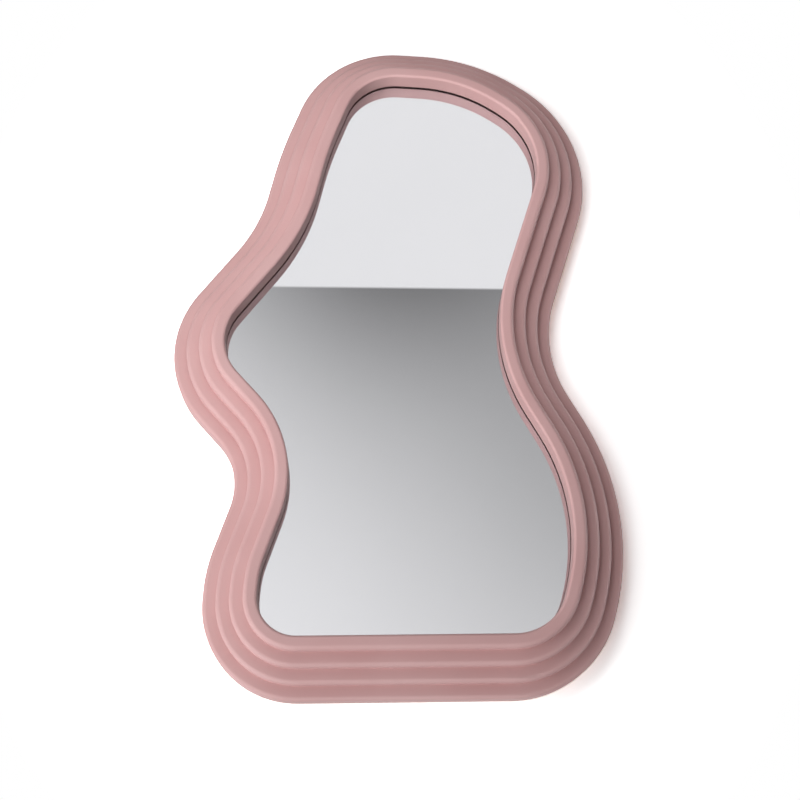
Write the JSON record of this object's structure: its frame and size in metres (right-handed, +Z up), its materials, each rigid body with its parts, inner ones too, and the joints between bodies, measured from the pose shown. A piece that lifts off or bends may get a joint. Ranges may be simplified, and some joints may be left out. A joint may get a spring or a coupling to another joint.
{
  "type": "wall mirror",
  "caption": "Wall mirror with a free-form wavy outline, in a frame of stacked boards that step forward to a rounded inner ridge, with a turn-button back and swinging D-ring hangers.",
  "frame": {"origin": "on the wall, midway between the two wall hooks, at the level where the hooks bear in the swung-up rings", "axes": "+Z up, the front faces -Y, the wall is the plane y = 0 and +Y points into it"},
  "size_m": [0.4992, 0.07, 0.7903],
  "materials": {
    "frame_paint": "satin paint",
    "clear_glass": "polished",
    "silver": "mirror",
    "black_rubber": "matte",
    "grey_rubber": "matte",
    "white_foam": "matte",
    "hardboard": "raw",
    "beech": "raw",
    "zinc_steel": "zinc plated"
  },
  "bodies": {
    "frame": {"back_board": "hardboard", "base_bottom": "frame_paint", "base_left_hanger_block": "frame_paint", "base_left_side": "frame_paint", "base_right_hanger_block": "frame_paint", "base_right_side": "frame_paint", "base_top": "frame_paint", "foam_sheet": "white_foam", "frame_screws": "zinc_steel", "hanger_screws": "zinc_steel", "left_hanger_strap": "zinc_steel", "mirror_glass": "clear_glass", "ridge_dowels": "beech", "ridge_layer": "frame_paint", "right_hanger_strap": "zinc_steel", "second_layer": "frame_paint", "setting_blocks": "black_rubber", "silvered_film": "silver", "third_layer": "frame_paint", "turn_button_screws": "zinc_steel", "wall_bumpers": "grey_rubber"},
    "button_1": {"turn_button_1": "zinc_steel"},
    "button_2": {"turn_button_2": "zinc_steel"},
    "button_3": {"turn_button_3": "zinc_steel"},
    "button_4": {"turn_button_4": "zinc_steel"},
    "button_5": {"turn_button_5": "zinc_steel"},
    "button_6": {"turn_button_6": "zinc_steel"},
    "button_7": {"turn_button_7": "zinc_steel"},
    "button_8": {"turn_button_8": "zinc_steel"},
    "left_ring": {"left_hanger_ring": "zinc_steel"},
    "right_ring": {"right_hanger_ring": "zinc_steel"}
  },
  "joints": [
    {"name": "turn_button_1_turn", "type": "hinge", "parent": "frame", "child": "button_1", "pos_m": [-0.09074, -0.0399, -0.55165], "axis": [0, 1, 0], "range_deg": [-90, 90]},
    {"name": "turn_button_2_turn", "type": "hinge", "parent": "frame", "child": "button_2", "pos_m": [0.03658, -0.0399, -0.55165], "axis": [0, 1, 0], "range_deg": [-90, 90]},
    {"name": "turn_button_3_turn", "type": "hinge", "parent": "frame", "child": "button_3", "pos_m": [0.12921, -0.0399, -0.2985], "axis": [0, 1, 0], "range_deg": [-90, 90]},
    {"name": "turn_button_4_turn", "type": "hinge", "parent": "frame", "child": "button_4", "pos_m": [0.12531, -0.0399, -0.07816], "axis": [0, 1, 0], "range_deg": [-90, 90]},
    {"name": "turn_button_5_turn", "type": "hinge", "parent": "frame", "child": "button_5", "pos_m": [-0.01073, -0.0399, 0.14019], "axis": [0, 1, 0], "range_deg": [-90, 90]},
    {"name": "turn_button_6_turn", "type": "hinge", "parent": "frame", "child": "button_6", "pos_m": [-0.10273, -0.0399, 0.07948], "axis": [0, 1, 0], "range_deg": [-90, 90]},
    {"name": "turn_button_7_turn", "type": "hinge", "parent": "frame", "child": "button_7", "pos_m": [-0.19906, -0.0399, -0.13778], "axis": [0, 1, 0], "range_deg": [-90, 90]},
    {"name": "turn_button_8_turn", "type": "hinge", "parent": "frame", "child": "button_8", "pos_m": [-0.1787, -0.0399, -0.4287], "axis": [0, 1, 0], "range_deg": [-90, 90]},
    {"name": "left_ring_swing", "type": "hinge", "parent": "frame", "child": "left_ring", "pos_m": [-0.156, -0.0067, -0.01225], "axis": [1, 0, 0], "range_deg": [0, 173]},
    {"name": "right_ring_swing", "type": "hinge", "parent": "frame", "child": "right_ring", "pos_m": [0.156, -0.0067, -0.01225], "axis": [1, 0, 0], "range_deg": [0, 173]}
  ]
}
